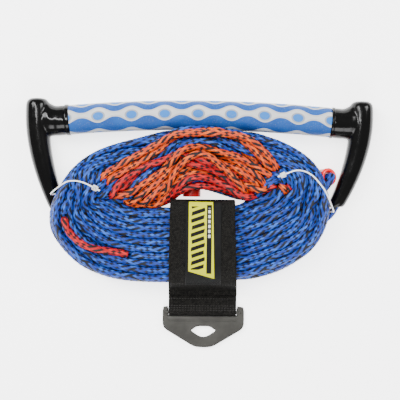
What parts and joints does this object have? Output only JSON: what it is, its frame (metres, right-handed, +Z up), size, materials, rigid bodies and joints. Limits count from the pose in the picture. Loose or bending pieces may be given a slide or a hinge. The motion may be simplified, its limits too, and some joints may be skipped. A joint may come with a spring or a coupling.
{
  "type": "tow rope handle",
  "caption": "Water-ski tow handle with a bowed foam grip, angled end caps and a rope hank held by a hook-and-loop webbing strap on a plastic hanger.",
  "frame": {"origin": "under the middle of the handle, strap and hanger together, on the surface that they lie on", "axes": "+X along the grip towards its right end, +Y from the hanger towards the grip, +Z up from the surface"},
  "size_m": [0.3304, 0.2366, 0.0448],
  "materials": {
    "grip_foam": "printed closed-cell foam",
    "alloy": "drawn tube",
    "cap_plastic": "glossy moulding",
    "bush_plastic": "moulded",
    "rope_fibre": "braided polypropylene",
    "sleeve_vinyl": "soft vinyl tube",
    "tie_nylon": "natural nylon",
    "webbing": "woven webbing",
    "label": "printed label",
    "hook_tape": "hook tape",
    "loop_tape": "loop tape",
    "hanger_plastic": "moulded"
  },
  "bodies": {
    "hank": {"rope_hank": "rope_fibre", "boat_loop_rope": "rope_fibre", "bridle_sleeve": "sleeve_vinyl", "boat_loop_sleeve": "sleeve_vinyl", "cable_tie_left": "tie_nylon", "cable_tie_right": "tie_nylon", "keeper_strap": "webbing", "loop_patch": "loop_tape"},
    "handle": {"grip_sleeve": "grip_foam", "handle_tube": "alloy", "end_cap_left": "cap_plastic", "end_cap_right": "cap_plastic", "rope_bush_left": "bush_plastic", "rope_bush_right": "bush_plastic", "bridle_rope": "rope_fibre"},
    "flap": {"keeper_flap": "webbing", "hook_patch": "hook_tape", "label_patch": "label"},
    "hanger": {"hanger": "hanger_plastic"}
  },
  "joints": [
    {"name": "handle_pull", "type": "slide", "parent": "hank", "child": "handle", "axis": [0, 1, 0], "range_m": [0, 0.006]},
    {"name": "flap_peel", "type": "hinge", "parent": "hank", "child": "flap", "pos_m": [0, 0.0152, 0.0356], "axis": [-1, 0, 0], "range_deg": [0, 90]},
    {"name": "hanger_swing", "type": "hinge", "parent": "hank", "child": "hanger", "pos_m": [0, -0.0844, 0.0033], "axis": [-1, 0, 0], "range_deg": [0, 75]}
  ]
}
